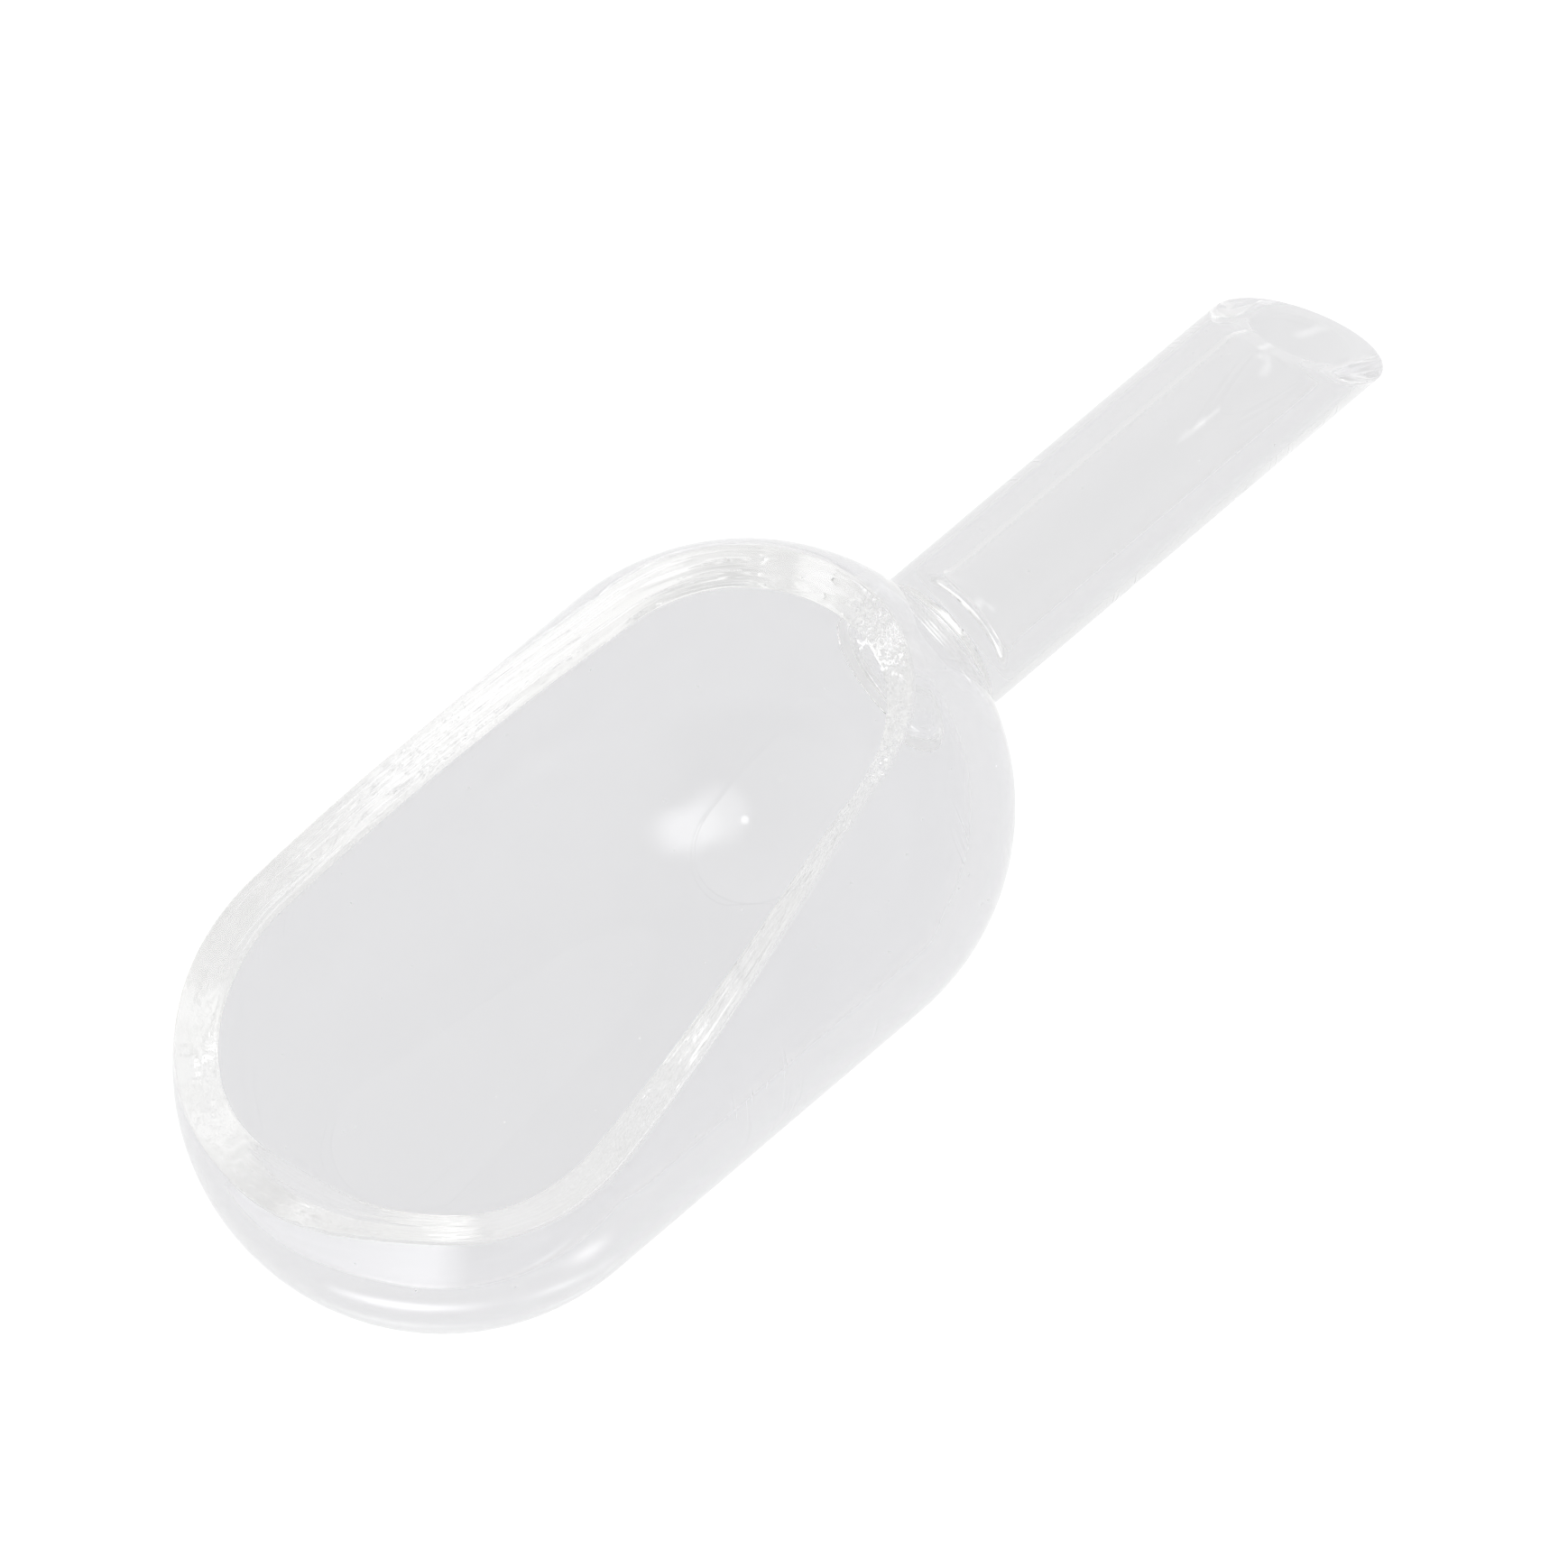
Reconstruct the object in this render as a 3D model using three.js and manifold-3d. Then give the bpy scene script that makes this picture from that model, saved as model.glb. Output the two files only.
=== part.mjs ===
// Clear acrylic ice scoop, in millimetres with +Z up and +X towards the end of the handle.
//
// Three bonded pieces share one long axis: a thick-walled bowl shaped as a capsule and cut open
// along a rising rim, a round tube for the handle, and the cement fillet round the handle's root.
// The origin is under the middle of the scoop, on the surface that the bowl stands on.

import * as THREE from 'three';
import { mergeVertices } from 'three/addons/utils/BufferGeometryUtils.js';
import Module from 'manifold-3d';

// ---- Driving dimensions, with x measured from the centre of the bowl's back dome ----

const BOWL_RADIUS = 30; // outside of the bowl, round its long axis
const WALL = 5; // wall of the bowl, the same all over
const BARREL_LENGTH = 49.5; // straight stretch between the centres of the two domes
const STANDING_CUT = 0.3; // depth of the narrow flat ground along the keel, which stops it rocking
const STANDING_EASE = 0.05; // slope by which the cut rises past both ends of the straight stretch

const LIP_HEIGHT = 2.9; // rim above the axis at the front lip
const BACK_HEIGHT = 24; // rim above the axis on the back dome
const RISE_START_X = -88; // the rim climbs along one S-curve between these two stations
const RISE_END_X = 19;

const HANDLE_RADIUS = 9.1; // outside of the handle tube
const BORE_RADIUS = 5.2; // blind bore down the middle of the handle
const BORE_FLOOR_X = 34.5; // flat floor of the bore
const BORE_FLOOR_ROUND = 1.8; // rounded corner between the bore's floor and its side
const HANDLE_END_X = 91.8; // middle of the handle's slanted end
const END_SLANT = THREE.MathUtils.degToRad(49); // lean of the cut end, whose lower side sticks out
const END_ROUND = 1.2; // rounded outer edge of the cut end
const MOUTH_ROUND = 0.5; // rounded edge of the bore's mouth

const FILLET_RADIUS = 2.6; // hollow of the cement fillet at the handle's root
const BOND_GAP = 0.3; // clearance between neighbouring pieces

// ---- How finely the round shapes are divided ----

const DOME_STEPS = 28; // stations round half a dome
const BARREL_STEPS = 12; // stations along each side of the barrel
const WALL_STEPS = 14; // rows from the rim down to the keel
const TURN_STEPS = 40; // divisions of a full turn round the long axis
const ARC_STEPS = 6; // divisions of a rounded edge

const INNER_RADIUS = BOWL_RADIUS - WALL;

const wasm = await Module();
wasm.setup();

function toManifold(geometry) {
  const plain = geometry.clone();
  plain.deleteAttribute('normal');
  plain.deleteAttribute('uv');
  const merged = mergeVertices(plain);
  return new wasm.Manifold(new wasm.Mesh({
    numProp: 3,
    vertProperties: new Float32Array(merged.getAttribute('position').array),
    triVerts: new Uint32Array(merged.index.array),
  }));
}

function toGeometry(solid) {
  const { vertProperties, triVerts } = solid.getMesh();
  const geometry = new THREE.BufferGeometry();
  geometry.setAttribute('position', new THREE.BufferAttribute(vertProperties, 3));
  geometry.setIndex(new THREE.BufferAttribute(triVerts, 1));
  geometry.computeVertexNormals();
  return geometry;
}

function clearMaterial(color) {
  return new THREE.MeshStandardMaterial({
    color,
    roughness: 0.06,
    metalness: 0,
    transparent: true,
    opacity: 0.35,
  });
}

function namedMesh(name, geometry, material) {
  const mesh = new THREE.Mesh(geometry, material);
  mesh.name = name;
  return mesh;
}

// Height of the rim above the axis at a station along the scoop.
function rimHeight(x) {
  const rise = THREE.MathUtils.smoothstep(x, RISE_START_X, RISE_END_X);
  return THREE.MathUtils.lerp(LIP_HEIGHT, BACK_HEIGHT, rise);
}

// A point of the capsule: a station fixes the centre and the level direction, and the
// elevation angle swings from that direction down to the keel or up to the rim.
function capsulePoint(station, elevation, radius) {
  const reach = radius * Math.cos(elevation);
  return new THREE.Vector3(
    station.centre + reach * Math.cos(station.heading),
    reach * Math.sin(station.heading),
    radius * Math.sin(elevation),
  );
}

// Elevation at which the capsule's outside meets the rim, by halving the interval.
function rimElevation(station) {
  let low = 0;
  let high = Math.PI / 2;
  for (let pass = 0; pass < 40; pass++) {
    const middle = (low + high) / 2;
    const point = capsulePoint(station, middle, BOWL_RADIUS);
    if (point.z < rimHeight(point.x)) {
      low = middle;
    } else {
      high = middle;
    }
  }
  return (low + high) / 2;
}

// Stations once round the rim: back dome, left side, front dome, right side.
function rimStations() {
  const quarter = Math.PI / 2;
  const stations = [];
  for (let i = 0; i < DOME_STEPS; i++) {
    stations.push({ centre: 0, heading: -quarter + (Math.PI * i) / DOME_STEPS });
  }
  for (let i = 0; i < BARREL_STEPS; i++) {
    stations.push({ centre: (-BARREL_LENGTH * i) / BARREL_STEPS, heading: quarter });
  }
  for (let i = 0; i < DOME_STEPS; i++) {
    stations.push({ centre: -BARREL_LENGTH, heading: quarter + (Math.PI * i) / DOME_STEPS });
  }
  for (let i = 0; i < BARREL_STEPS; i++) {
    stations.push({ centre: -BARREL_LENGTH * (1 - i / BARREL_STEPS), heading: 3 * quarter });
  }
  return stations;
}

// Collects triangles over shared vertices. Lines that meet at a pole or on the keel share
// their last vertex, and a triangle that shrinks to nothing there is left out.
class SharedMesh {
  constructor() {
    this.positions = [];
    this.indices = [];
    this.known = new Map();
  }

  vertex(point) {
    const key = point.toArray().map((value) => Math.round(value * 1e4)).join(' ');
    if (!this.known.has(key)) {
      this.known.set(key, this.positions.length / 3);
      this.positions.push(point.x, point.y, point.z);
    }
    return this.known.get(key);
  }

  triangle(a, b, c) {
    if (a !== b && b !== c && c !== a) {
      this.indices.push(a, b, c);
    }
  }

  quad(a, b, c, d) {
    this.triangle(a, b, c);
    this.triangle(a, c, d);
  }

  geometry() {
    const geometry = new THREE.BufferGeometry();
    geometry.setAttribute('position', new THREE.Float32BufferAttribute(this.positions, 3));
    geometry.setIndex(this.indices);
    geometry.computeVertexNormals();
    return geometry;
  }
}

// Bowl skin: two capsules, joined at the rim by a face that is square to the wall.
function openCapsule() {
  const mesh = new SharedMesh();
  const columns = rimStations().map((station) => {
    const top = rimElevation(station);
    const column = { outside: [], inside: [] };
    for (let row = 0; row <= WALL_STEPS; row++) {
      const elevation = THREE.MathUtils.lerp(top, -Math.PI / 2, row / WALL_STEPS);
      column.outside.push(mesh.vertex(capsulePoint(station, elevation, BOWL_RADIUS)));
      column.inside.push(mesh.vertex(capsulePoint(station, elevation, INNER_RADIUS)));
    }
    return column;
  });
  columns.forEach((here, index) => {
    const next = columns[(index + 1) % columns.length];
    for (let row = 0; row < WALL_STEPS; row++) {
      mesh.quad(here.outside[row], here.outside[row + 1], next.outside[row + 1], next.outside[row]);
      mesh.quad(here.inside[row], next.inside[row], next.inside[row + 1], here.inside[row + 1]);
    }
    mesh.quad(here.outside[0], next.outside[0], next.inside[0], here.inside[0]);
  });
  return mesh.geometry();
}

// Bowl: the open capsule with its standing flat cut along the keel. The flat is a plain rectangle
// under the straight stretch, and the cut eases up under the two domes.
function bowlShell() {
  const flat = STANDING_CUT - BOWL_RADIUS;
  const eased = flat + STANDING_EASE * BOWL_RADIUS;
  const outline = new THREE.Shape([
    new THREE.Vector2(-BARREL_LENGTH - BOWL_RADIUS, -2 * BOWL_RADIUS),
    new THREE.Vector2(BOWL_RADIUS, -2 * BOWL_RADIUS),
    new THREE.Vector2(BOWL_RADIUS, eased),
    new THREE.Vector2(0, flat),
    new THREE.Vector2(-BARREL_LENGTH, flat),
    new THREE.Vector2(-BARREL_LENGTH - BOWL_RADIUS, eased),
  ]);
  const below = new THREE.ExtrudeGeometry(outline, { depth: 2 * BOWL_RADIUS, bevelEnabled: false });
  below.translate(0, 0, -BOWL_RADIUS);
  below.rotateX(Math.PI / 2);
  return toGeometry(toManifold(openCapsule()).subtract(toManifold(below)));
}

// Points of an arc in a profile plane, where x is the distance from the axis and y the station.
function arcPoints(centre, radius, fromAngle, toAngle, steps) {
  return Array.from({ length: steps + 1 }, (_, step) => {
    const angle = THREE.MathUtils.lerp(fromAngle, toAngle, step / steps);
    return new THREE.Vector2(
      Math.max(0, centre.x + radius * Math.cos(angle)),
      centre.y + radius * Math.sin(angle),
    );
  });
}

// A solid turned round the scoop's long axis.
function turned(profile) {
  return new THREE.LatheGeometry(profile, TURN_STEPS).rotateZ(-Math.PI / 2);
}

// Handle: a tube whose root is hollowed to sit on the dome, with a blind bore that has a flat floor.
// It is turned with a square end, then every point of that end slides along the axis to the
// slanted plane, which keeps the sides straight and the end face flat.
function handleTube() {
  const quarter = Math.PI / 2;
  const seat = BOWL_RADIUS + BOND_GAP;
  const seatEdge = Math.acos(HANDLE_RADIUS / seat);
  const endStart = HANDLE_END_X - END_ROUND;
  const profile = [
    ...arcPoints(new THREE.Vector2(0, 0), seat, quarter, seatEdge, ARC_STEPS),
    ...arcPoints(new THREE.Vector2(HANDLE_RADIUS - END_ROUND, endStart), END_ROUND, 0, quarter, ARC_STEPS),
    ...arcPoints(
      new THREE.Vector2(BORE_RADIUS + MOUTH_ROUND, HANDLE_END_X - MOUTH_ROUND),
      MOUTH_ROUND, quarter, 2 * quarter, ARC_STEPS / 2,
    ),
    ...arcPoints(
      new THREE.Vector2(BORE_RADIUS - BORE_FLOOR_ROUND, BORE_FLOOR_X + BORE_FLOOR_ROUND),
      BORE_FLOOR_ROUND, 0, -quarter, ARC_STEPS / 2,
    ),
    new THREE.Vector2(0, BORE_FLOOR_X),
  ];
  const geometry = turned(profile);
  const position = geometry.getAttribute('position');
  for (let i = 0; i < position.count; i++) {
    if (position.getX(i) > endStart - BOND_GAP) {
      position.setX(i, position.getX(i) - position.getZ(i) * Math.tan(END_SLANT));
    }
  }
  geometry.computeVertexNormals();
  return geometry;
}

// Fillet: the ring of cement in the corner between the dome and the handle. Its hollow face is
// an arc that touches the dome on one side and the handle on the other.
function rootFillet() {
  const domeRadius = BOWL_RADIUS + BOND_GAP;
  const tubeRadius = HANDLE_RADIUS + BOND_GAP;
  const hollow = new THREE.Vector2(tubeRadius + FILLET_RADIUS, 0);
  hollow.y = Math.sqrt((domeRadius + FILLET_RADIUS) ** 2 - hollow.x ** 2);
  const domeTouch = Math.atan2(hollow.y, hollow.x);
  const cornerAngle = Math.acos(tubeRadius / domeRadius);
  const profile = [
    ...arcPoints(new THREE.Vector2(0, 0), domeRadius, cornerAngle, domeTouch, ARC_STEPS / 2),
    ...arcPoints(hollow, FILLET_RADIUS, Math.PI + domeTouch, Math.PI, ARC_STEPS).slice(1),
  ];
  profile.push(profile[0].clone());
  return turned(profile);
}

const pieces = new THREE.Group();
pieces.add(namedMesh('bowl_shell', bowlShell(), clearMaterial(0xe9eaec)));
pieces.add(namedMesh('handle_tube', handleTube(), clearMaterial(0xe6e7e9)));
pieces.add(namedMesh('root_fillet', rootFillet(), clearMaterial(0xeeeff0)));

// The pieces are shifted so that the origin lies under the middle of the whole scoop.
const extent = new THREE.Box3().setFromObject(pieces);
const middle = extent.getCenter(new THREE.Vector3());
pieces.position.set(-middle.x, -middle.y, -extent.min.z);

const iceScoop = new THREE.Group();
iceScoop.add(pieces);

export default iceScoop;
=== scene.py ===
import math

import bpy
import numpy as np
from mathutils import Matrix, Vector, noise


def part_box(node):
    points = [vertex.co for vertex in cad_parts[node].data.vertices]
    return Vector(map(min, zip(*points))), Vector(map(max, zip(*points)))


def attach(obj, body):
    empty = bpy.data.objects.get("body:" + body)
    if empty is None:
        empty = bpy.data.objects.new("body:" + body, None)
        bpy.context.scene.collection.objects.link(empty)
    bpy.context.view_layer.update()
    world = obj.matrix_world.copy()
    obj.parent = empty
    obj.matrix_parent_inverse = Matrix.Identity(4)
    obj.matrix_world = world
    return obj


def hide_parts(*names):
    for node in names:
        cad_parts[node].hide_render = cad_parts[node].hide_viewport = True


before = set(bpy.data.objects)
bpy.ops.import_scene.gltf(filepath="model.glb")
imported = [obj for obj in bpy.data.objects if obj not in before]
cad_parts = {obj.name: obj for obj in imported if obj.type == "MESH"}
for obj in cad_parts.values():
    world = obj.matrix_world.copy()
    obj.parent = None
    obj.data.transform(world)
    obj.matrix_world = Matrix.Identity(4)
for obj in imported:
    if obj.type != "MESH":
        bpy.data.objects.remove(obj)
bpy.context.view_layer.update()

# Clear ice scoop, in metres, in the frame of the CAD model: +X towards the end of the handle, +Z up.
# Each CAD piece is replaced by a fine mesh of the same form, with the rounded, ground and rippled
# surfaces of the real one, and clear materials.

MM = 0.001
QUARTER = math.pi / 2

# ---- Driving sizes in metres, the same as the CAD model's ----

BOWL_RADIUS = 30 * MM
WALL = 5 * MM
BARREL_LENGTH = 49.5 * MM
STANDING_CUT = 0.3 * MM
STANDING_EASE = 0.05  # rise of the standing flat under the domes, for each metre along
LIP_HEIGHT = 2.9 * MM
BACK_HEIGHT = 24 * MM
RISE_START_X = -88 * MM
RISE_END_X = 19 * MM
HANDLE_RADIUS = 9.1 * MM
BORE_RADIUS = 5.2 * MM
BORE_FLOOR_X = 34.5 * MM
BORE_FLOOR_ROUND = 1.8 * MM
HANDLE_END_X = 91.8 * MM
END_SLANT = math.radians(49)
END_ROUND = 1.2 * MM
FILLET_RADIUS = 2.6 * MM

# ---- Sizes that only the visual model has ----

OVERLAP = 0.05 * MM  # bonded pieces sink this far into each other, so that the joints look bonded
OUTER_EDGE_ROUND = 0.55 * MM  # edges of the rim
INNER_EDGE_ROUND = 0.8 * MM
RIM_CROWN = 0.1 * MM  # how much higher the middle of the rim is than its edges
LIP_SWELL = 1.9 * MM  # the hand-finished lip is a little higher on the side towards -Y
LIP_SWELL_X = -73.5 * MM
LIP_SWELL_Y = -16 * MM
LIP_SWELL_SPREAD = 7.5 * MM
LIP_LUMP = 2.5 * MM  # the lip's wall is thicker inside, round this heading of the front dome
LIP_LUMP_HEADING = 185
LIP_LUMP_SPREAD = 15
LIP_LUMP_DROP = 4.5 * MM  # how far down the wall the lump goes
WORN_MOUTH_ROUND = 0.9 * MM  # the edge of the handle's mouth is softer to look at than the CAD's
BORE_ROWS_END = 2 * MM  # the even rows of the bore stop this far short of the handle's end
SLANT_LENGTH = 22 * MM  # stretch of the handle over which its rings come to the slant of its end

# Marks on the rim, in mm: height, length along the rim, width across it.
LONG_LINES = (0.1, 30, 0.5)
FINE_LINES = (0.045, 14, 0.22)
RIPPLES = (0.2, 6, 0.8)
RIDGES = (0.42, 0.75, 5.0)
NET = (0.42, 0.8, 0.8)
ROUGHNESS = (0.2, 0.8, 0.8)
CHIPS = (0.26, 1.1, 1.1)
DOTS = (0.3, 0.55, 0.55)
RIPPLE_SKEW = 2  # how far along the rim a mark moves for each mm across it
RIDGE_SKEW = 0.35
DOTTED_BAND = (0.5, 1.7)  # the dots thin out from one of these to the other, from the outer edge
BUBBLE = (73.0, 2.6)  # along the rim from its right rear end, and in from its outer edge
BUBBLE_DEPTH = 0.22
BUBBLE_SPREAD = (0.45, 0.4)

# Where those marks are: from, to and margin of fading. Headings are in degrees round the back dome,
# then round the front dome; the rough side is in mm along the axis.
RIPPLED = (5, 80, 12)
RIDGED = (-66, -40, 8)
NETTED = (-86, -12, 9)
CHIPPED = (128, 166, 10)
DOTTED = (150, 205, 8)
ROUGH_SIDE = (-9, 3, 5)
RIGHT_END = -80  # headings of the back dome from here on count as its right side
RIGHT_OF_BACK = -100  # headings given to the columns that are not round the back dome
LEFT_OF_BACK = 109

# ---- Fine mesh ----

BACK_STATIONS = 480  # columns round the back dome, along each side and round the front dome
BARREL_STATIONS = 120
FRONT_STATIONS = 320
COARSENING = 4  # fine columns of the rim to one column of the walls
WALL_ROWS = 34
EDGE_ROWS = 4
FACE_ROWS = 44
TURN_STEPS = 192
TUBE_ROWS = 40
SEAT_ROWS = 10  # rows of the handle's arcs: seat, both edges of the end, corner of the bore's floor
END_ROWS = 8
BORE_FLOOR_ROWS = 10
FILLET_SEAT_ROWS = 6  # rows of the fillet's arcs: on the dome, and its hollow
FILLET_ROWS = 12
HALVINGS = 40
SAME_PLACE = 1e-7  # vertices of the keel closer than this are one

# ---- Materials ----

PLASTIC_IOR = 1.49
LAMP_SHARE = 0.985  # light that a lamp sends straight through one surface to the floor
HAZE_SCALE = 90  # texture scales are in marks to the metre
WORN_SCALE = 45
SPECK_SCALE = 220
HAZE_TINTED = (0.35, 0.65)  # noise where the haze starts to tint and where it tints most
HAZE_ROUGH = (0.45, 0.75)  # noise where it starts to roughen and where it is roughest
SCRATCH_SCALE = (1400, 110, 110)  # across a scratch, and along it
SCRATCH_CREST = (0.7, 0.76)  # noise where a scratch starts and is deepest
WORN_PATCH = (0.54, 0.66)  # noise where the worn patches start and are most scratched
WORN_SHARE = 0.8
SPECK_SIZE = (0.03, 0.055)  # full size and faded size, in cells
SPECK_ROUGHNESS = 0.3
BUMP_DEPTH = 0.03 * MM
BUMP_STRENGTH = 0.3

# ---- Studio ----

FLOOR_WHITE = 0.95
# Painted shade: the floor's colour is darker where it is seen through or off the plastic, with a faint
# tint.
FLOOR_SHADE_THROUGH = 0.835  # the floor's brightness, seen through the plastic
FLOOR_SHADE_TINT = (0.995, 0.995, 1.005)
FLOOR_HALF = 3
FLOOR_DROP = 0.05 * MM
ROOM_RADIANCE = 1.3
# Seen by way of the plastic, the room darkens from the window side down to the far horizon.
ROOM_NEAR = 1.0
ROOM_FAR = 0.8
ROOM_SPAN = (0.05, 0.9)  # cosines to the window side where the room is darkest and brightest
WINDOW_SIDE = (-0.6, 0.5, 0.6)
OFF_PLASTIC_SHARE = 0.6  # how far a reflection counts as a view through the plastic
# Soft lights: direction, angle where full brightness ends, angle where the light ends, radiance.
SOFT_LIGHTS = [
    ((-0.23, -0.55, 0.8), 1, 19, 1.25),
    ((-0.03, -0.6, 0.79), 1, 16, 0.8),
    ((0.1, -0.62, 0.78), 1, 16, 0.85),
    ((0.21, -0.66, 0.72), 1, 14, 1.0),
    ((-0.68, -0.5, 0.5), 16, 60, -0.27),  # the dark side of the room
    ((-0.37, -0.37, 0.85), 0.6, 2.6, 3.0),  # a small lamp
]
# Pools of light painted on the floor under the front wall: distance in mm from the centre of the front
# dome, its spread, heading in degrees, its spread, brightness.
PAINTED_LIGHT_POOLS = [
    (24.5, 1.1, -152, 16, 0.46),
    (24.0, 0.9, -93, 9, 0.2),
    (33.0, 2.0, -84, 5, 0.25),
]
POOL_FALL = 0.6  # share of a pool's brightness left at one spread from its middle
# A glow painted on the floor, which shows in the front wall only, where the floor is seen through both
# sides of the bowl.
PAINTED_GLOW = 0.22
GLOW_ACROSS = (0.68, -0.73)  # direction on the floor along which the glow ends
GLOW_EDGE = (-1.5 * MM, 4 * MM)
GLOW_FADE = (-22 * MM, -4 * MM)
GLOW_FAR_SHARE = 0.3
GLOW_REACH = 32 * MM
BOTH_SIDES = 2.5  # more surfaces than this have been passed

CAMERA_AZIMUTH = math.radians(-47)
CAMERA_ELEVATION = math.radians(52)
CAMERA_DISTANCE = 4.0
CAMERA_VIEW = 0.175  # width of the view at that distance
CAMERA_AIM = Vector((5.16, -0.84, 0)) * MM  # from the centre of the back dome
SENSOR_WIDTH = 36
LIGHT_BOUNCES = 256  # light goes round inside the clear walls many times
TRANSPARENT_BOUNCES = 32

# ---- Place read from the frame ----

BOWL_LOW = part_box("bowl_shell")[0]
DOME_CENTRE = Vector((
    BOWL_LOW.x + BOWL_RADIUS + BARREL_LENGTH,
    0,
    BOWL_LOW.z - STANDING_CUT + BOWL_RADIUS,
))


def smoothstep(value, low, high):
    t = np.clip((value - low) / (high - low), 0, 1)
    return t * t * (3 - 2 * t)


def hump(value, middle, spread):
    """A smooth hump of height 1."""
    return np.exp(-((value - middle) / spread) ** 2 / 2)


def window(value, low, high, soft):
    """1 between low and high, falling to 0 over a soft margin outside."""
    return smoothstep(value, low - soft, low) * (1 - smoothstep(value, high, high + soft))


def noise_field(points, seed):
    """Smooth noise from -1 to 1 at each row of an array of places."""
    # Each seed reads the noise somewhere else.
    shift = Vector((seed * 17.3, seed * 5.1, seed * 29.7))
    flat = points.reshape(-1, 3)
    values = [noise.noise(Vector(p) + shift) for p in flat.tolist()]
    return np.array(values).reshape(points.shape[:-1])


def make_object(name, vertices, faces, face_slots=None, materials=(), uv=None):
    mesh = bpy.data.meshes.new(name)
    mesh.from_pydata([tuple(v) for v in vertices], [], faces)
    for material in materials:
        mesh.materials.append(material)
    mesh.polygons.foreach_set("use_smooth", [True] * len(mesh.polygons))
    if face_slots is not None:
        mesh.polygons.foreach_set("material_index", face_slots)
    if uv is not None:
        layer = mesh.uv_layers.new(name="UVMap")
        corner = np.zeros(len(mesh.loops), dtype=np.int32)
        mesh.loops.foreach_get("vertex_index", corner)
        layer.data.foreach_set("uv", np.asarray(uv, dtype=np.float32)[corner].reshape(-1))
    mesh.update()
    obj = bpy.data.objects.new(name, mesh)
    bpy.context.scene.collection.objects.link(obj)
    return obj


# ---- Bowl ----


def rim_height(x, y):
    rise = LIP_HEIGHT + (BACK_HEIGHT - LIP_HEIGHT) * smoothstep(x, RISE_START_X, RISE_END_X)
    swell = hump(x, LIP_SWELL_X, LIP_SWELL_SPREAD) * hump(y, LIP_SWELL_Y, LIP_SWELL_SPREAD)
    return rise + LIP_SWELL * swell


def rim_stations():
    """Centre and heading of each column: back dome, left side, front dome, right side."""
    stations = []
    for i in range(BACK_STATIONS):
        stations.append((0, -QUARTER + math.pi * i / BACK_STATIONS))
    for i in range(BARREL_STATIONS):
        stations.append((-BARREL_LENGTH * i / BARREL_STATIONS, QUARTER))
    for i in range(FRONT_STATIONS):
        stations.append((-BARREL_LENGTH, QUARTER + math.pi * i / FRONT_STATIONS))
    for i in range(BARREL_STATIONS):
        stations.append((-BARREL_LENGTH * (1 - i / BARREL_STATIONS), 3 * QUARTER))
    return np.array(stations)


def place(centre, heading, elevation, radius):
    """The point of each column at this elevation and radius."""
    reach = radius * np.cos(elevation)
    return np.stack([
        centre + reach * np.cos(heading), reach * np.sin(heading), radius * np.sin(elevation),
    ], axis=-1)


def rim_elevation(centre, heading):
    """Elevation at which each column's outside meets the rim, by halving the interval."""
    low = np.zeros(len(centre))
    high = np.full(len(centre), QUARTER)
    for _ in range(HALVINGS):
        middle = (low + high) / 2
        x, y, z = place(centre, heading, middle, BOWL_RADIUS).T
        below = z < rim_height(x, y)
        low = np.where(below, middle, low)
        high = np.where(below, high, middle)
    return (low + high) / 2


def rim_section():
    """The rim's cross-section from outside to inside: height along the wall, and depth into it."""
    outer, inner = OUTER_EDGE_ROUND, INNER_EDGE_ROUND
    points = []
    for i in range(EDGE_ROWS + 1):
        turn = QUARTER * i / EDGE_ROWS
        points.append((-outer + outer * math.sin(turn), outer - outer * math.cos(turn)))
    for i in range(1, FACE_ROWS):
        points.append((0, outer + (WALL - outer - inner) * i / FACE_ROWS))
    for i in range(EDGE_ROWS + 1):
        turn = QUARTER * i / EDGE_ROWS
        points.append((-inner + inner * math.cos(turn), WALL - inner + inner * math.sin(turn)))
    return np.array(points)


def marks(along, across, kind, seed):
    """One kind of mark: its height in mm at each place on the rim."""
    height, length, width = kind
    return height * noise_field(np.stack([along / length, across / width, 0 * along], axis=-1), seed)


def rim_relief(s, q, back_heading, front_heading, x):
    """Height of the tool marks and flaws at s mm along the rim and q mm in from its outer edge."""
    relief = marks(s, q, LONG_LINES, 1) + marks(s, q, FINE_LINES, 2)
    relief += marks(s + RIPPLE_SKEW * q, q, RIPPLES, 3) * window(back_heading, *RIPPLED)
    relief -= BUBBLE_DEPTH * hump(s, BUBBLE[0], BUBBLE_SPREAD[0]) * hump(q, BUBBLE[1], BUBBLE_SPREAD[1])
    relief += marks(s + RIDGE_SKEW * q, q, RIDGES, 4) * window(back_heading, *RIDGED)
    relief += (NET[0] / 2 - 2 * np.abs(marks(s, q, NET, 5))) * window(back_heading, *NETTED)
    relief += marks(s, q, ROUGHNESS, 6) * window(x, *ROUGH_SIDE) * (back_heading < RIGHT_END)
    relief += marks(s, q, CHIPS, 7) * window(front_heading, *CHIPPED)
    dotted = window(front_heading, *DOTTED) * (1 - smoothstep(q, *DOTTED_BAND))
    relief += marks(s, q, DOTS, 8) * dotted
    return relief * MM


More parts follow.
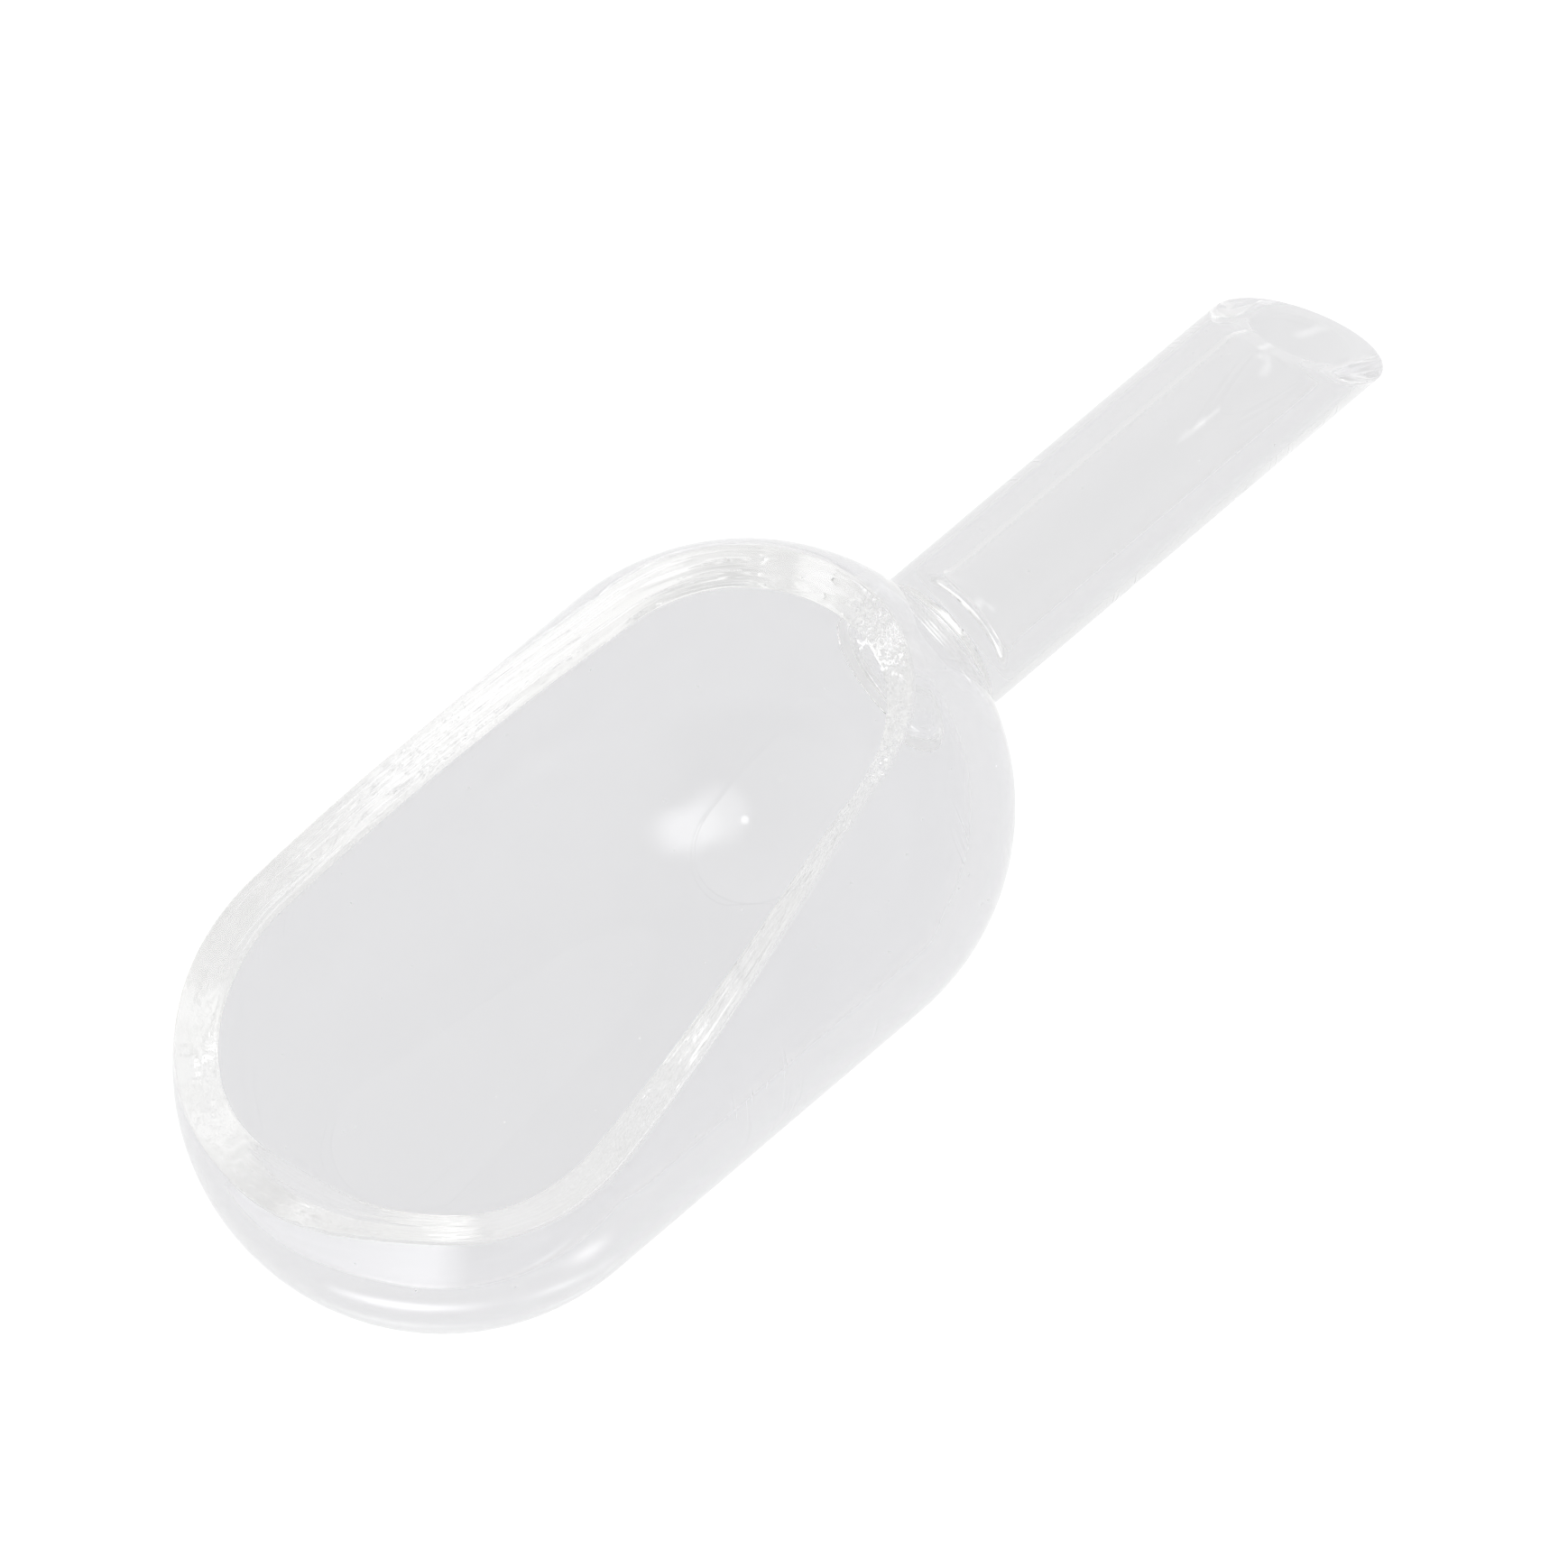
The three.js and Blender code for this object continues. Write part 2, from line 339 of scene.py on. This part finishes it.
def bowl_rows():
    """The bowl's rows of points, from the outside of the keel over the rim to the inside of the keel.

    Each row has its points, the columns to one of them, and the second number of its UV places.
    The first number is the length along the rim, which is returned for every column.
    """
    centre, heading = rim_stations().T
    count = len(centre)
    top = rim_elevation(centre, heading)
    section = rim_section()
    middle_radius = BOWL_RADIUS - WALL / 2

    outside = place(centre, heading, top, BOWL_RADIUS)
    steps = np.linalg.norm(np.roll(outside, -1, axis=0) - outside, axis=1)
    arc_length = np.concatenate([[0], np.cumsum(steps)[:-1]])
    beyond_back = np.where(heading > math.pi, RIGHT_OF_BACK, LEFT_OF_BACK)
    back_heading = np.where(centre == 0, np.degrees(heading), beyond_back)
    front_heading = np.degrees(np.where(centre <= -BARREL_LENGTH, heading, 0))

    wide = (len(section), count)
    relief = rim_relief(
        np.broadcast_to(arc_length / MM, wide),
        np.broadcast_to(section[:, 1:2] / MM, wide),
        np.broadcast_to(back_heading, wide),
        np.broadcast_to(front_heading, wide),
        np.broadcast_to(outside[:, 0] / MM, wide),
    )
    lump = LIP_LUMP * hump(front_heading, LIP_LUMP_HEADING, LIP_LUMP_SPREAD)

    rows = []
    for i in range(1, WALL_ROWS):
        elevation = -QUARTER + (top + section[0, 0] / middle_radius + QUARTER) * i / WALL_ROWS
        points = place(centre, heading, elevation, BOWL_RADIUS)
        rows.append((points[::COARSENING], COARSENING, -1))
    for (rise, depth), heights in zip(section, relief):
        share = depth / WALL
        face = np.sin(np.pi * np.clip(share, 0, 1)) ** 0.5  # the marks die out at the rim's edges
        along = rise + heights * face + RIM_CROWN * math.sin(math.pi * share)
        radius = BOWL_RADIUS - (depth + lump * share)
        rows.append((place(centre, heading, top + along / middle_radius, radius), 1, depth / MM))
    for i in reversed(range(1, WALL_ROWS)):
        elevation = -QUARTER + (top + section[-1, 0] / middle_radius + QUARTER) * i / WALL_ROWS
        below = (top - elevation) * middle_radius
        bulge = lump * np.exp(-(below / LIP_LUMP_DROP) ** 2)
        points = place(centre, heading, elevation, BOWL_RADIUS - WALL - bulge)
        rows.append((points[::COARSENING], COARSENING, -2))
    return rows, centre, arc_length


def faces_between(first, n_first, second, n_second):
    """Faces between two rows, each given by its first vertex and its number of vertices.

    A row may have COARSENING times as many vertices as the other.
    """
    faces = []
    for i in range(min(n_first, n_second)):
        a, next_a = first + i, first + (i + 1) % n_first
        b, next_b = second + i, second + (i + 1) % n_second
        if n_first == n_second:
            faces.append((a, next_a, next_b, b))
        elif n_first < n_second:
            fine = [second + (i * COARSENING + k) % n_second for k in range(COARSENING + 1)]
            faces.append((a, next_a, *reversed(fine)))
        else:
            fine = [first + (i * COARSENING + k) % n_first for k in range(COARSENING + 1)]
            faces.append((*fine, next_b, b))
    return faces


def close_keel(vertices, faces, row, coarse_centre, radius, inside):
    """Joins a row to the line along the bottom of the bowl, where all columns meet."""
    first, n = row
    line = {}

    def line_vertex(x):
        key = round(x / SAME_PLACE)
        if key not in line:
            line[key] = len(vertices)
            vertices.append([x, 0, -radius])
        return line[key]

    for i in range(n):
        j = (i + 1) % n
        a, b = line_vertex(coarse_centre[i]), line_vertex(coarse_centre[j])
        ring = [first + j, first + i, a] if a == b else [first + j, first + i, a, b]
        faces.append(tuple(reversed(ring)) if inside else tuple(ring))


def bowl(materials):
    rows, centre, arc_length = bowl_rows()
    vertices, uvs, spans = [], [], []
    for points, step, v in rows:
        spans.append((len(vertices), len(points)))
        vertices.extend(points.tolist())
        uvs.extend((length / MM, v) for length in arc_length[::step])

    faces, slots = [], []
    for i, (first, second) in enumerate(zip(spans, spans[1:])):
        added = faces_between(*first, *second)
        faces += added
        on_rim = rows[i][1] == 1 and rows[i + 1][1] == 1
        slots += [1 if on_rim else 0] * len(added)

    coarse_centre = centre[::COARSENING].tolist()
    close_keel(vertices, faces, spans[0], coarse_centre, BOWL_RADIUS, False)
    close_keel(vertices, faces, spans[-1], coarse_centre, BOWL_RADIUS - WALL, True)
    slots += [0] * (len(faces) - len(slots))
    uvs += [(0, -1)] * (len(vertices) - len(uvs))

    vertices = np.array(vertices)
    beyond = np.maximum(0, np.maximum(vertices[:, 0], -BARREL_LENGTH - vertices[:, 0]))
    flat = STANDING_CUT - BOWL_RADIUS + STANDING_EASE * beyond
    vertices[:, 2] = np.maximum(vertices[:, 2], flat)
    return make_object("bowl", vertices + np.array(DOME_CENTRE), faces, slots, materials, uvs)


# ---- Turned pieces ----


def arc(cx, cy, radius, start, end, steps):
    """Points of an arc as (distance from the axis, place along it)."""
    turn = np.linspace(start, end, steps + 1)
    return [(max(0, cx + radius * math.cos(t)), cy + radius * math.sin(t)) for t in turn]


def turned(name, profile, materials, closed=False, move=None):
    """A mesh turned round the scoop's axis from a profile that starts and ends on it, or is closed."""
    vertices = []
    rings = []
    for r, x in profile:
        if r < 1e-9:
            rings.append([len(vertices)])
            vertices.append([x, 0, 0])
        else:
            rings.append(list(range(len(vertices), len(vertices) + TURN_STEPS)))
            for k in range(TURN_STEPS):
                turn = 2 * math.pi * k / TURN_STEPS
                vertices.append([x, r * math.cos(turn), r * math.sin(turn)])
    faces = []
    for a, b in zip(rings, rings[1:] + ([rings[0]] if closed else [])):
        for k in range(TURN_STEPS):
            n = (k + 1) % TURN_STEPS
            if len(a) == 1:
                faces.append((a[0], b[n], b[k]))
            elif len(b) == 1:
                faces.append((a[k], a[n], b[0]))
            else:
                faces.append((a[k], a[n], b[n], b[k]))
    vertices = np.array(vertices)
    if move:
        vertices = move(vertices)
    return make_object(name, vertices + np.array(DOME_CENTRE), faces, None, materials)


def slant(vertices):
    """Shears the handle's end. The shear fades in along its last stretch, which keeps the rows even."""
    start = HANDLE_END_X - SLANT_LENGTH
    share = np.clip((vertices[:, 0] - start) / (HANDLE_END_X - END_ROUND - start), 0, 1)
    vertices[:, 0] -= vertices[:, 2] * math.tan(END_SLANT) * share
    return vertices


def handle(materials):
    seat = BOWL_RADIUS - OVERLAP
    seat_edge = math.acos(HANDLE_RADIUS / seat)
    end_start = HANDLE_END_X - END_ROUND
    root_x = seat * math.sin(seat_edge)
    bore_start = BORE_FLOOR_X + BORE_FLOOR_ROUND
    bore_end = HANDLE_END_X - BORE_ROWS_END
    profile = [
        *arc(0, 0, seat, QUARTER, seat_edge, SEAT_ROWS),
        *[(HANDLE_RADIUS, root_x + (end_start - root_x) * i / TUBE_ROWS) for i in range(1, TUBE_ROWS)],
        *arc(HANDLE_RADIUS - END_ROUND, end_start, END_ROUND, 0, QUARTER, END_ROWS),
        *arc(BORE_RADIUS + WORN_MOUTH_ROUND, HANDLE_END_X - WORN_MOUTH_ROUND, WORN_MOUTH_ROUND,
             QUARTER, 2 * QUARTER, END_ROWS),
        *[(BORE_RADIUS, bore_end + (bore_start - bore_end) * i / TUBE_ROWS) for i in range(TUBE_ROWS)],
        *arc(BORE_RADIUS - BORE_FLOOR_ROUND, bore_start, BORE_FLOOR_ROUND, 0, -QUARTER,
             BORE_FLOOR_ROWS),
        (BORE_RADIUS / 3, BORE_FLOOR_X),
        (0, BORE_FLOOR_X),
    ]
    return turned("handle", profile, materials, move=slant)


def fillet(materials):
    dome = BOWL_RADIUS - OVERLAP
    tube = HANDLE_RADIUS - OVERLAP
    hollow_r = tube + FILLET_RADIUS
    hollow_x = math.sqrt((dome + FILLET_RADIUS) ** 2 - hollow_r ** 2)
    touch = math.atan2(hollow_x, hollow_r)
    corner = math.acos(tube / dome)
    profile = [
        *arc(0, 0, dome, corner, touch, FILLET_SEAT_ROWS),
        *arc(hollow_r, hollow_x, FILLET_RADIUS, math.pi + touch, math.pi, FILLET_ROWS)[1:],
    ]
    return turned("root_cement", profile, materials, closed=True)


# ---- Nodes ----


def node(tree, kind, **settings):
    made = tree.nodes.new(kind)
    for name, value in settings.items():
        setattr(made, name, value)
    return made


def maths(tree, operation, first, second=0.0):
    """One sum; each term is a number or the output of another node."""
    made = node(tree, "ShaderNodeMath", operation=operation)
    for term, socket in ((first, made.inputs[0]), (second, made.inputs[1])):
        if isinstance(term, (int, float)):
            socket.default_value = term
        else:
            tree.links.new(term, socket)
    return made.outputs[0]


def total_of(tree, *terms):
    total = terms[0]
    for term in terms[1:]:
        total = maths(tree, "ADD", total, term)
    return total


def product_of(tree, *terms):
    product = terms[0]
    for term in terms[1:]:
        product = maths(tree, "MULTIPLY", product, term)
    return product


def spread_map(tree, source, low, high, to_low, to_high, interpolation="LINEAR"):
    """Maps one range of a value to another, held at both ends."""
    made = node(tree, "ShaderNodeMapRange", interpolation_type=interpolation)
    limits = (("From Min", low), ("From Max", high), ("To Min", to_low), ("To Max", to_high))
    for name, number in limits:
        made.inputs[name].default_value = number
    tree.links.new(source, made.inputs["Value"])
    return made.outputs["Result"]


def colour_mix(tree, share, first, second):
    """Colour running from first to second; second is a colour or the output of another node."""
    made = node(tree, "ShaderNodeMix", data_type="RGBA")
    tree.links.new(share, made.inputs[0])
    made.inputs[6].default_value = (*first, 1)
    if isinstance(second, tuple):
        made.inputs[7].default_value = (*second, 1)
    else:
        tree.links.new(second, made.inputs[7])
    return made.outputs[2]


def noise_texture(tree, vector, scale, detail):
    made = node(tree, "ShaderNodeTexNoise")
    made.inputs["Scale"].default_value = scale
    made.inputs["Detail"].default_value = detail
    tree.links.new(vector, made.inputs["Vector"])
    return made.outputs["Fac"]


# ---- Materials ----


def clear_material(name, pale, deep, roughness, relief, scratch_turn):
    """Clear plastic with faint haze, scratches and specks, which lets the lamps through to the floor.

    The colour runs from pale to deep with the haze, and the roughness between its two values.
    The haze stands relief times as high as a scratch is deep. The scratches run across the
    scoop's axis, turned by scratch_turn degrees.
    """
    material = bpy.data.materials.new(name)
    material.use_nodes = True
    tree = material.node_tree
    shader = tree.nodes["Principled BSDF"]
    output = tree.nodes["Material Output"]
    shader.inputs["IOR"].default_value = PLASTIC_IOR
    shader.inputs["Transmission Weight"].default_value = 1

    place_in_object = node(tree, "ShaderNodeTexCoord").outputs["Object"]
    haze = noise_texture(tree, place_in_object, HAZE_SCALE, 2)
    tint = colour_mix(tree, spread_map(tree, haze, *HAZE_TINTED, 0, 1), pale, deep)
    tree.links.new(tint, shader.inputs["Base Color"])

    # Fine scratches: the narrow crests of stretched noise, in a few worn patches only.
    stretch = node(tree, "ShaderNodeMapping")
    stretch.inputs["Rotation"].default_value = (0, 0, math.radians(scratch_turn))
    stretch.inputs["Scale"].default_value = SCRATCH_SCALE
    tree.links.new(place_in_object, stretch.inputs["Vector"])
    streaks = noise_texture(tree, stretch.outputs["Vector"], 1, 0)
    worn = noise_texture(tree, place_in_object, WORN_SCALE, 0)
    crests = spread_map(tree, streaks, *SCRATCH_CREST, 0, 1)
    patches = spread_map(tree, worn, *WORN_PATCH, 0, WORN_SHARE)
    scratches = product_of(tree, crests, patches)

    # Specks: a tiny frosted dot in some of the cells.
    cells = node(tree, "ShaderNodeTexVoronoi")
    cells.inputs["Scale"].default_value = SPECK_SCALE
    tree.links.new(place_in_object, cells.inputs["Vector"])
    specks = spread_map(tree, cells.outputs["Distance"], *SPECK_SIZE, SPECK_ROUGHNESS, 0)
    rough = spread_map(tree, haze, *HAZE_ROUGH, *roughness)
    tree.links.new(total_of(tree, rough, specks), shader.inputs["Roughness"])

    bump = node(tree, "ShaderNodeBump")
    bump.inputs["Strength"].default_value = BUMP_STRENGTH
    bump.inputs["Distance"].default_value = BUMP_DEPTH
    height = maths(tree, "SUBTRACT", product_of(tree, haze, relief), scratches)
    tree.links.new(height, bump.inputs["Height"])
    tree.links.new(bump.outputs["Normal"], shader.inputs["Normal"])

    path = node(tree, "ShaderNodeLightPath").outputs
    lighting = maths(tree, "MAXIMUM", path["Is Shadow Ray"], path["Is Diffuse Ray"])
    through = node(tree, "ShaderNodeBsdfTransparent")
    through.inputs["Color"].default_value = (LAMP_SHARE, LAMP_SHARE, LAMP_SHARE, 1)
    blend = node(tree, "ShaderNodeMixShader")
    tree.links.new(lighting, blend.inputs["Fac"])
    tree.links.new(shader.outputs["BSDF"], blend.inputs[1])
    tree.links.new(through.outputs["BSDF"], blend.inputs[2])
    tree.links.new(blend.outputs["Shader"], output.inputs["Surface"])
    return material


# ---- Studio ----


def facing(tree, direction):
    """Cosine of the angle between a direction of the world and this one."""
    made = node(tree, "ShaderNodeVectorMath", operation="DOT_PRODUCT")
    made.inputs[1].default_value = Vector(direction).normalized()
    seen = node(tree, "ShaderNodeTexCoord").outputs["Generated"]
    tree.links.new(seen, made.inputs[0])
    return made.outputs["Value"]


def by_way_of_plastic(tree, path):
    """0 for a ray straight from the camera, and 1 or more for one that came through the plastic.

    A ray that came off the plastic once is between the two.
    """
    off = product_of(tree, path["Glossy Depth"], OFF_PLASTIC_SHARE)
    return total_of(tree, path["Transmission Depth"], off)


def studio_world():
    """Even white light from all round, with a few soft lights on one side."""
    world = bpy.data.worlds.new("studio")
    bpy.context.scene.world = world
    world.use_nodes = True
    tree = world.node_tree
    background = tree.nodes["Background"]
    background.inputs["Color"].default_value = (1, 1, 1, 1)
    path = node(tree, "ShaderNodeLightPath").outputs
    room = node(tree, "ShaderNodeMix", data_type="FLOAT", clamp_factor=True)
    room.inputs[2].default_value = ROOM_RADIANCE
    shade = spread_map(tree, facing(tree, WINDOW_SIDE), *ROOM_SPAN, ROOM_FAR, ROOM_NEAR, "SMOOTHSTEP")
    tree.links.new(by_way_of_plastic(tree, path), room.inputs[0])
    tree.links.new(shade, room.inputs[3])
    total = room.outputs[0]
    for direction, inner, outer, radiance in SOFT_LIGHTS:
        ends = (math.cos(math.radians(outer)), math.cos(math.radians(inner)))
        light = spread_map(tree, facing(tree, direction), *ends, 0, radiance, "SMOOTHSTEP")
        total = total_of(tree, total, light)
    tree.links.new(total, background.inputs["Strength"])


def painted_floor_through(tree, path):
    """Floor colour seen through the plastic: painted shade, with painted pools of light and a painted glow
    for the light that the front dome gathers on it.
    """
    split = node(tree, "ShaderNodeSeparateXYZ")
    tree.links.new(node(tree, "ShaderNodeTexCoord").outputs["Object"], split.inputs[0])
    x = maths(tree, "SUBTRACT", split.outputs[0], DOME_CENTRE.x - BARREL_LENGTH)
    y = split.outputs[1]
    reach = maths(tree, "SQRT", total_of(tree, product_of(tree, x, x), product_of(tree, y, y)))
    heading = maths(tree, "ARCTAN2", y, x)

    def away(value, middle, spread):
        """Square of the distance from the middle, in spreads."""
        off = maths(tree, "DIVIDE", maths(tree, "SUBTRACT", value, middle), spread)
        return product_of(tree, off, off)

    total = FLOOR_SHADE_THROUGH
    # Painted pools of light, added to the floor's colour.
    for distance, spread, angle, angle_spread, brightness in PAINTED_LIGHT_POOLS:
        square = total_of(
            tree,
            away(reach, distance * MM, spread * MM),
            away(heading, math.radians(angle), math.radians(angle_spread)),
        )
        fall = maths(tree, "POWER", POOL_FALL, square)
        total = total_of(tree, total, product_of(tree, fall, brightness))

    # Painted glow on the floor's colour, seen only through both sides of the bowl.
    across_x, across_y = GLOW_ACROSS
    across = total_of(tree, product_of(tree, x, across_x), product_of(tree, y, across_y))
    glow = product_of(
        tree,
        spread_map(tree, across, *GLOW_EDGE, PAINTED_GLOW, 0),
        spread_map(tree, across, *GLOW_FADE, GLOW_FAR_SHARE, 1),
        maths(tree, "GREATER_THAN", path["Transmission Depth"], BOTH_SIDES),
        maths(tree, "LESS_THAN", reach, GLOW_REACH),
    )
    total = total_of(tree, total, glow)
    grey = node(tree, "ShaderNodeCombineColor")
    for channel, tint in enumerate(FLOOR_SHADE_TINT):
        tree.links.new(product_of(tree, total, tint), grey.inputs[channel])
    return grey.outputs[0]


def floor_material():
    """White card, painted light grey as shade where it is seen through the clear plastic."""
    material = bpy.data.materials.new("floor_paint")
    material.use_nodes = True
    tree = material.node_tree
    shader = tree.nodes["Principled BSDF"]
    shader.inputs["Roughness"].default_value = 0.9
    shader.inputs["Specular IOR Level"].default_value = 0
    path = node(tree, "ShaderNodeLightPath").outputs
    white = (FLOOR_WHITE, FLOOR_WHITE, FLOOR_WHITE)
    # Painted shade: the card's colour turns grey for rays that came through or off the plastic.
    tint = colour_mix(tree, by_way_of_plastic(tree, path), white, painted_floor_through(tree, path))
    tree.links.new(tint, shader.inputs["Base Color"])
    return material


def camera_and_stage():
    back = Vector((
        math.sin(CAMERA_AZIMUTH) * math.cos(CAMERA_ELEVATION),
        -math.cos(CAMERA_AZIMUTH) * math.cos(CAMERA_ELEVATION),
        math.sin(CAMERA_ELEVATION),
    ))
    data = bpy.data.cameras.new("camera")
    camera = bpy.data.objects.new("camera", data)
    bpy.context.scene.collection.objects.link(camera)
    data.sensor_width = SENSOR_WIDTH
    data.lens = data.sensor_width * CAMERA_DISTANCE / CAMERA_VIEW
    camera.location = DOME_CENTRE + CAMERA_AIM + back * CAMERA_DISTANCE
    camera.rotation_mode = "QUATERNION"
    camera.rotation_quaternion = (-back).to_track_quat("-Z", "Y")
    bpy.context.scene.camera = camera

    half = FLOOR_HALF
    corners = [(x, y, -FLOOR_DROP) for x, y in ((-half, -half), (half, -half), (half, half), (-half, half))]
    floor = make_object("floor", corners, [(0, 1, 2, 3)], None, [floor_material()])

    studio_world()
    scene = bpy.context.scene
    scene.view_settings.view_transform = "Standard"
    scene.cycles.max_bounces = LIGHT_BOUNCES
    scene.cycles.transmission_bounces = LIGHT_BOUNCES
    scene.cycles.glossy_bounces = LIGHT_BOUNCES
    scene.cycles.transparent_max_bounces = TRANSPARENT_BOUNCES


wall_material = clear_material(
    "clear_wall", (0.99, 0.99, 0.995), (0.98, 0.98, 0.985), (0.0, 0.03), 0.6, 20,
)
rim_material = clear_material(
    "ground_rim", (0.99, 0.99, 0.985), (0.97, 0.97, 0.955), (0.0, 0.05), 0.5, 80,
)
handle_material = clear_material(
    "clear_handle_wall", (0.99, 0.99, 0.99), (0.985, 0.985, 0.985), (0.0, 0.006), 0.05, 75,
)
cement_material = clear_material(
    "cement", (0.99, 0.99, 0.98), (0.96, 0.96, 0.945), (0.01, 0.05), 2.0, 0,
)
camera_and_stage()
bowl_piece = bowl([wall_material, rim_material])
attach(bowl_piece, "root")
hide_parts("bowl_shell")
handle_piece = handle([handle_material])
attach(handle_piece, "root")
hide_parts("handle_tube")
cement_piece = fillet([cement_material])
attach(cement_piece, "root")
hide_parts("root_fillet")
